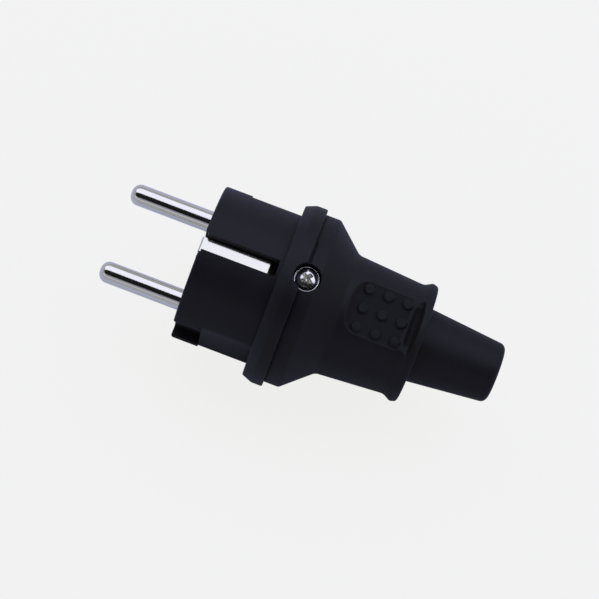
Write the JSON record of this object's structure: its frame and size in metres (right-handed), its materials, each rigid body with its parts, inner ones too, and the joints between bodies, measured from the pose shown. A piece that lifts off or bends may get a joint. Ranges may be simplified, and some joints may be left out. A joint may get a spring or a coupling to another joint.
{
  "type": "electrical plug",
  "caption": "Black rewireable earthed plug with round pins, side earth strips, a stepped collar, dotted grip pads and a tapered bend-relief sleeve.",
  "frame": {"origin": "centre of the plug's face, midway between the two pins", "axes": "+X from the face towards the cord entry, +Y towards the line pin, +Z out through the earth strip on the housing screw's side"},
  "size_m": [0.0894, 0.0414, 0.0414],
  "materials": {
    "black_nylon": "satin",
    "black_rubber": "satin",
    "nickel_plate": "polished",
    "zinc_plate": "satin",
    "grey_insulator": "matte"
  },
  "bodies": {
    "root": {"contact_carrier": "black_nylon", "hood": "black_rubber", "line_pin": "nickel_plate", "neutral_pin": "nickel_plate", "earth_bracket": "nickel_plate", "terminal_screws": "zinc_plate", "earth_terminal_screw": "zinc_plate", "earth_clamp_washer": "zinc_plate", "cord_clamp_screws": "zinc_plate", "housing_screw": "zinc_plate", "housing_nut": "zinc_plate", "pin_retainer": "grey_insulator", "cord_clamp": "grey_insulator"}
  },
  "joints": []
}
